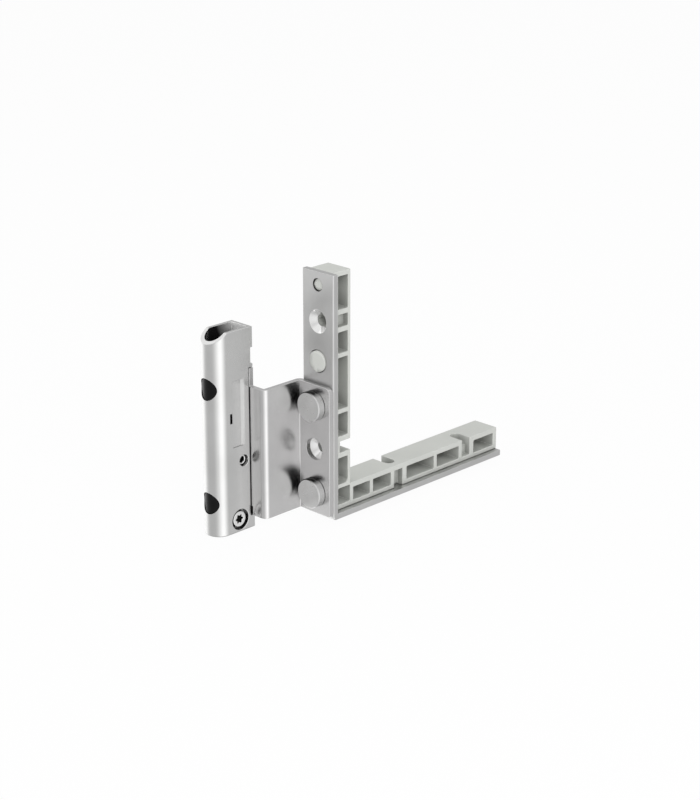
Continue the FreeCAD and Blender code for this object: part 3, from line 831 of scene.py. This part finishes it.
# hinge housing
housingSet = {
    "edge": 0.45, "edgeSteps": 3, "gap": 0.5,
    "shares": [
        ((-6, -6, -1), (14, 6, 90), 0.49),  # edges in general
        ((-6, -6, -0.1), (14, 6, 0.1), 1.0),  # the bottom's outline
        ((-3.95, -3.95, -0.1), (3.95, 3.95, 0.1), 0.49),  # the bore's rim
        ((1.3, -5.6, 33.9), (8.6, -4.6, 60.5), 0.12),  # label field and its mark
        ((-6, -6, 8), (0.2, 6, 66), 0.1),  # windows
        ((0, -4.2, 1.0), (5.2, 4.2, 9.0), 0),  # where the cam's way meets the bore
        ((-6, -6, 69.9), (14, 6, 70.1), 0),  # floor of the open top
        ((-4.2, -4.2, 19.9), (4.2, 4.2, 20.1), 0),  # shoulders under the bushes
        ((-4.2, -4.2, 49.9), (4.2, 4.2, 50.1), 0),
    ],
    "nose": 5.5, "noseEnd": 0.01,
    "cupFloor": 70.0, "cupEnd": 11.5, "cupHalf": 3.9, "cupSlack": 0.05,  # the open top
    "wallTilt": 0.3, "endFacing": -0.9,
    "markLow": (1.49, -5.46, 43.89), "markHigh": (2.66, -4.59, 47.81),  # filled with black
    "look": {
        "dark": (0.66, 0.66, 0.655), "light": (0.73, 0.73, 0.725),
        "edge": (0.84, 0.84, 0.83), "shadeColour": (0.04, 0.04, 0.04),
        "stretch": (1, 1, 0.06), "grain": 3600, "cloud": 50, "rough": (0.25, 0.27),
        "bump": 0.012, "wearRadius": 0.35, "wear": 0.5,
        # painted shade along the label field's edges and the seams
        "recessReach": 1.4, "recess": 0.9, "recessLimits": (0.85, 0.3),
    },
    "castLook": {  # the open top is left as cast inside, and painted shade darkens it towards the nose and down
        "stretch": (1, 1, 1), "grain": 2600, "rough": (0.5, 0.62), "bump": 0.1,
        "metal": 0.4, "ior": 1.2, "recessReach": 4.0, "recess": 0.3,
        "shadeColour": (0.008, 0.008, 0.008),
    },
    # painted shade in the open top, darker towards the nose and down
    "castDepthShade": {"Way": (-1, 0, -0.35), "Start": -0.0405, "Full": -0.0315},
    # painted light: the cup's end wall, facing the nose, takes a lighter copy of the cast finish
    "endPaintedLightLook": {"dark": (0.84, 0.84, 0.835), "light": (0.90, 0.90, 0.895)},
}


# which of the housing's finishes a face takes
def housingPart(face):
    s = housingSet
    middle = face.calc_center_median() / mm
    across = abs(middle.y) if middle.x > 0 else math.hypot(middle.x, middle.y)
    slack = s["cupSlack"]
    above = middle.z > s["cupFloor"] - slack
    inCup = above and middle.x < s["cupEnd"] + slack and across < s["cupHalf"] + slack
    if inCup and (abs(face.normal.z) < s["wallTilt"] or middle.z < s["cupFloor"] + slack):
        # the end wall's faces take the lighter, painted-light copy of the cast finish
        return "end" if face.normal.x < s["endFacing"] else "inside"
    if all(s["markLow"][i] < middle[i] < s["markHigh"][i] for i in range(3)):
        return "mark"
    return "outside"


def makeHousing():
    s = housingSet
    castLook = {**s["look"], **s["castLook"]}
    finishes = {
        "outside": satinMetal("satinHousing", s["look"]),
        "inside": satinMetal("castInside", dict(castLook, depthShade=s["castDepthShade"])),
        "mark": bushFinish,
        "end": satinMetal("castEndPaintedLight", {**castLook, **s["endPaintedLightLook"]}),
    }
    parts = list(finishes)
    form = dividedForm("hinge_housing", s["gap"], s["shares"])
    for face in form.faces:
        face.material_index = parts.index(housingPart(face))
    housing = addPiece("hingeHousing", form, "hinge_body", "housing_metal",
                       list(finishes.values()), "hinge_housing")
    roundEdges(housing, s["edge"], s["edgeSteps"])
    roundSide(housing, s["nose"], s["noseEnd"])


makeHousing()
print("hinge housing done")

# lift-lock cam: chamfered head with a six-lobe socket, pin with one flat side
camSet = {
    "x": 5.8, "z": 4.9, "front": -4.9, "rim": -4.7, "headEnd": -3.0, "shaftEnd": 2.8,
    "facets": 96, "head": 3.1, "chamfer": 0.2, "shaft": 3.3, "flat": -1.5,
    "lobeOuter": 1.85, "lobeInner": 1.3, "lobeDepth": 1.4, "lip": 0.15,
    "foot": 0.2, "footShare": 0.8,
    "edge": 0.08, "edgeSteps": 2, "edgeTurn": 40, "ringPitch": 0.3,
    "look": {
        "dark": (0.86, 0.86, 0.855), "light": (0.92, 0.92, 0.915),
        "edge": (0.95, 0.95, 0.94), "shadeColour": (0.02, 0.02, 0.02),
        "stretch": (1, 1, 1), "grain": 5200, "cloud": 160, "rough": (0.34, 0.42),
        "bump": 0.04, "ringBump": 0.05, "wearRadius": 0.25, "wear": 0.5,
        "recessReach": 2.0, "recess": 0.97, "recessLimits": (0.72, 0.5),
        # painted shade, darker down into the socket
        "depthShade": {"Way": (0, 1, 0), "Start": -0.00475, "Full": -0.0043},
    },
}


def makeLiftLockCam():
    s = camSet
    outer, inner, share = s["lobeOuter"], s["lobeInner"], s["footShare"]
    floor = s["front"] + s["lobeDepth"]
    lobe = lobeShape(outer, inner)
    pin = flatSided(s["shaft"], s["flat"])
    steps = [
        (floor, lobeShape(outer * share, inner * share)), (floor - s["foot"], lobe),
        (s["front"] + s["lip"], lobe), (s["front"], lobeShape(outer + s["lip"], inner + s["lip"])),
        (s["front"], s["head"] - s["chamfer"]), (s["rim"], s["head"]),
        (s["headEnd"], s["head"]), (s["headEnd"], pin), (s["shaftEnd"], pin),
    ]
    form = loftRings(stepRings(alongY(s), steps, s["facets"]))
    finish = satinMetal("turnedCam", turnedLook(s, (s["x"], 0, s["z"]), (1, 0, 1)))
    cam = addPiece("liftLockCam", form, "lift_lock_cam", "screw_steel", [finish], "lift_lock_cam")
    roundEdges(cam, s["edge"], s["edgeSteps"], s["edgeTurn"])


makeLiftLockCam()
print("lift-lock cam done")

# set screw: hex socket, threaded body, dog point
lockSet = {
    "x": 8.05, "z": 28.0, "front": -4.2, "shoulder": -2.1, "facets": 72,
    "thread": 2.15, "root": 1.8, "pitch": 0.7, "runIn": 0.25, "rimStep": 0.05,
    "dog": 1.5, "dogChamfer": 0.2, "flats": 2.5, "socketDepth": 1.4,
    "lipWidth": 0.25, "lipDepth": 0.12, "footDepth": 0.35, "footRadius": 0.3,
    "edge": 0.07, "edgeSteps": 2, "edgeTurn": 50, "ringPitch": 0.3,
    "look": {
        "dark": (0.80, 0.80, 0.795), "light": (0.88, 0.88, 0.875),
        "edge": (0.92, 0.92, 0.91), "shadeColour": (0.01, 0.01, 0.01),
        "stretch": (1, 1, 1), "grain": 5200, "cloud": 160, "rough": (0.30, 0.38),
        "bump": 0.04, "ringBump": 0.05, "wearRadius": 0.2, "wear": 0.5,
        "recessReach": 1.2, "recess": 0.97, "recessLimits": (0.6, 0.4),
        # painted shade, darker down into the socket
        "depthShade": {"Way": (0, 1, 0), "Start": -0.00405, "Full": -0.0036},
    },
}


def makeLockScrew():
    s = lockSet
    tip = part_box("lock_screw")[1].y / mm
    floor = s["front"] + s["socketDepth"]
    hexes = hexShape(s["flats"])
    front = [
        (floor + s["footDepth"], s["footRadius"]), (floor, hexes),
        (s["front"] + s["lipDepth"], hexes), (s["front"], hexShape(s["flats"] + s["lipWidth"])),
        (s["front"], s["root"] - s["rimStep"]),
    ]
    back = [
        (s["shoulder"], s["dog"]), (tip - s["dogChamfer"], s["dog"]),
        (tip, s["dog"] - s["dogChamfer"]),
    ]
    rings = stepRings(alongY(s), front, s["facets"])
    rings += threadRings(alongY(s), s["front"] + s["runIn"], s["shoulder"] - s["runIn"],
                         s["root"], s["thread"], s["pitch"], s["facets"])
    rings += stepRings(alongY(s), back, s["facets"])
    form = loftRings(rings)
    finish = satinMetal("turnedLockScrew", turnedLook(s, (s["x"], 0, s["z"]), (1, 0, 1)))
    screw = addPiece("lockScrew", form, "lock_screw", "screw_steel", [finish], "lock_screw")
    roundEdges(screw, s["edge"], s["edgeSteps"], s["edgeTurn"])


makeLockScrew()
print("set screw done")

# height spindle: socket head in the open top, thread in the block, groove for the clip
spindleSet = {
    "x": 8.05, "y": 0.9, "facets": 48, "radius": 2.0, "root": 1.65, "pitch": 0.7,
    "footTaper": 0.2, "footRise": 0.3, "threadGap": 1.2, "runOut": 0.9,
    "groove": 1.6, "grooveLow": 62.75, "grooveHigh": 63.45,
    "head": 2.8, "headStart": 70.5, "headChamfer": 0.3, "flats": 3.0, "socketDepth": 2.5,
    "lipWidth": 0.3, "lipDepth": 0.15, "footDepth": 0.5, "footRadius": 0.3,
    "edge": 0.1, "edgeSteps": 2, "edgeTurn": 50, "ringPitch": 0.35,
    "look": {
        "dark": (0.52, 0.52, 0.51), "light": (0.60, 0.60, 0.59),
        "edge": (0.78, 0.78, 0.77), "shadeColour": (0.18, 0.18, 0.18),
        "stretch": (1, 1, 1), "grain": 5200, "cloud": 120, "rough": (0.26, 0.34),
        "bump": 0.06, "ringBump": 0.05, "wearRadius": 0.25, "wear": 0.5,
        "recessReach": 1.0, "recess": 0.4,
    },
}
spindleMiddle = (spindleSet["x"], spindleSet["y"], 0)
spindleFinish = satinMetal("turnedSpindle", turnedLook(spindleSet, spindleMiddle, (1, 1, 0)))


def makeHeightSpindle():
    s = spindleSet
    low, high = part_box("height_spindle")
    bottom, crown = low.z / mm, high.z / mm
    floor = crown - s["socketDepth"]
    hexes = hexShape(s["flats"])

    def toPart(along, across, up):
        return Vector((s["x"] + across, s["y"] + up, along)) * mm

    foot = [(bottom, s["root"] - s["footTaper"])]
    neck = [
        (s["grooveLow"] - s["runOut"], s["radius"]), (s["grooveLow"], s["radius"]),
        (s["grooveLow"], s["groove"]), (s["grooveHigh"], s["groove"]),
        (s["grooveHigh"], s["radius"]), (s["headStart"], s["radius"]),
        (s["headStart"], s["head"]), (crown - s["headChamfer"], s["head"]),
        (crown, s["head"] - s["headChamfer"]),
    ]
    socket = [
        (crown, hexShape(s["flats"] + s["lipWidth"])), (crown - s["lipDepth"], hexes),
        (floor, hexes), (floor - s["footDepth"], s["footRadius"]),
    ]
    rings = stepRings(toPart, foot, s["facets"])
    rings += threadRings(toPart, bottom + s["footRise"], s["grooveLow"] - s["threadGap"],
                         s["root"], s["radius"], s["pitch"], s["facets"])
    rings += stepRings(toPart, neck + socket, s["facets"])
    spindle = addPiece("heightSpindle", loftRings(rings), "height_spindle", "spindle_steel",
                       [spindleFinish], "height_spindle")
    roundEdges(spindle, s["edge"], s["edgeSteps"], s["edgeTurn"])


makeHeightSpindle()
print("height spindle done")

# inner pieces whose solids are right as they are
innerSet = {
    "look": {
        "dark": (0.47, 0.47, 0.47), "light": (0.56, 0.56, 0.56),
        "edge": (0.74, 0.74, 0.73), "shadeColour": (0.2, 0.2, 0.2),
        "stretch": (1, 1, 0.08), "grain": 4200, "cloud": 90, "rough": (0.30, 0.40),
        "bump": 0.1, "wearRadius": 0.3, "wear": 0.5, "recessReach": 1.0, "recess": 0.4,
    },
}
innerFinishes = {
    "slide_block": satinMetal("milledBlock", innerSet["look"]),
    "thrust_washer": spindleFinish,
    "spindle_clip": spindleFinish,
}
for node, finish in innerFinishes.items():
    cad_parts[node].data.materials.clear()
    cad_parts[node].data.materials.append(finish)
print("inner pieces done")

# camera at the photograph's place
cameraSet = {
    "place": (-0.460853, -0.520539, 0.301139),
    "right": (0.700580, -0.713573, 0.001095),
    "up": (0.240040, 0.237110, 0.941360),
    "back": (-0.671989, -0.659235, 0.337402),
    "lens": 90.453, "sensor": 36, "clipStart": 0.01,
}
lens = bpy.data.cameras.new("camera")
lens.lens = cameraSet["lens"]
lens.sensor_width = cameraSet["sensor"]
lens.clip_start = cameraSet["clipStart"]
camera = bpy.data.objects.new("camera", lens)
scene.collection.objects.link(camera)
turn = Matrix((cameraSet["right"], cameraSet["up"], cameraSet["back"])).transposed()
camera.matrix_world = Matrix.Translation(cameraSet["place"]) @ turn.to_4x4()
scene.camera = camera

# studio: pale floor, lamps, and soft boxes that only reflections show
studioSet = {
    "floor": (0.86, 0.86, 0.86), "floorSize": 6.0, "floorDrop": 0.3,
    "floorRough": 0.9, "floorGlow": 0.95, "ambient": 0.55,
    "boxes": [  # degrees round the object, level
        (-180, 0.62), (-165, 0.62), (-153, 0.68), (-135, 0.95), (-120, 1.25), (-105, 1.5),
        (-90, 1.5), (-80, 1.25), (-68, 0.95), (-55, 0.7), (-45, 0.62), (0, 0.65), (45, 0.5),
        (60, 1.0), (75, 1.4), (110, 1.4), (125, 1.0), (138, 0.72), (150, 0.62), (180, 0.62),
    ],
    "ceiling": 1.0, "ceilingStart": 0.45, "ceilingFull": 0.75,
    "lamps": [
        {"name": "key", "place": (-0.3, -0.82, 0.5), "size": 0.6, "power": 4.6},
        {"name": "left", "place": (-0.85, 0.1, 0.45), "size": 0.6, "power": 1.9},
        {"name": "top", "place": (0.2, 0.2, 1.0), "size": 0.8, "power": 1.6},
    ],
}


def makeFloor():
    half = studioSet["floorSize"] / 2
    drop = -studioSet["floorDrop"] * mm
    corners = [(-half, -half, drop), (half, -half, drop), (half, half, drop), (-half, half, drop)]
    form = bmesh.new()
    form.faces.new([form.verts.new(corner) for corner in corners])
    mesh = bpy.data.meshes.new("floor")
    form.to_mesh(mesh)
    form.free()
    floor = bpy.data.objects.new("floor", mesh)
    scene.collection.objects.link(floor)
    floor.visible_glossy = False
    material, tree, shader = newFinish("paleFloor")
    shader.inputs["Base Color"].default_value = (*studioSet["floor"], 1)
    shader.inputs["Roughness"].default_value = studioSet["floorRough"]
    path = addNode(tree, "ShaderNodeLightPath")
    glow = fillInputs(addNode(tree, "ShaderNodeEmission"), Strength=1.0)
    mix = addNode(tree, "ShaderNodeMixShader")
    seen = mathNode(tree, "MULTIPLY", path.outputs["Is Camera Ray"], studioSet["floorGlow"])
    tree.links.new(seen, mix.inputs[0])
    tree.links.new(shader.outputs[0], mix.inputs[1])
    tree.links.new(glow.outputs[0], mix.inputs[2])
    tree.links.new(mix.outputs[0], tree.nodes["Material Output"].inputs["Surface"])
    mesh.materials.append(material)


# the boxes' levels as a ramp round the object
def boxRamp(tree, place):
    around = addNode(tree, "ShaderNodeTexGradient", gradient_type="RADIAL")
    tree.links.new(place, around.inputs[0])
    ramp = addNode(tree, "ShaderNodeValToRGB")
    stops = ramp.color_ramp.elements
    while len(stops) > 1:
        stops.remove(stops[-1])
    for i, (degrees, level) in enumerate(studioSet["boxes"]):
        where = degrees / 360 + 0.5
        stop = stops[0] if i == 0 else stops.new(where)
        stop.position = where
        stop.color = (level, level, level, 1)
    tree.links.new(around.outputs["Fac"], ramp.inputs[0])
    return ramp.outputs[0]


def makeWorld():
    s = studioSet
    world = bpy.data.worlds.new("studio")
    scene.world = world
    world.use_nodes = True
    tree = world.node_tree
    place = addNode(tree, "ShaderNodeTexCoord").outputs["Generated"]
    split = addNode(tree, "ShaderNodeSeparateXYZ")
    tree.links.new(place, split.inputs[0])
    high = rangeNode(tree, split.outputs["Z"], s["ceilingStart"], s["ceilingFull"], 0, 1)
    boxes = mixColour(tree, high, boxRamp(tree, place), (s["ceiling"],) * 3)
    path = addNode(tree, "ShaderNodeLightPath")
    light = mixColour(tree, path.outputs["Is Glossy Ray"], (s["ambient"],) * 3, boxes)
    light = mixColour(tree, path.outputs["Is Camera Ray"], light, (1.0, 1.0, 1.0))
    tree.links.new(light, tree.nodes["Background"].inputs["Color"])


def makeLamps():
    aim = (Vector(cadLow) + Vector(cadHigh)) / 2
    for spec in studioSet["lamps"]:
        data = bpy.data.lights.new(spec["name"], "AREA")
        data.size = spec["size"]
        data.energy = spec["power"]
        lamp = bpy.data.objects.new(spec["name"], data)
        scene.collection.objects.link(lamp)
        lamp.location = spec["place"]
        lamp.rotation_euler = (aim - Vector(spec["place"])).to_track_quat("-Z", "Y").to_euler()
        lamp.visible_glossy = False


makeFloor()
makeWorld()
makeLamps()
print("studio done")
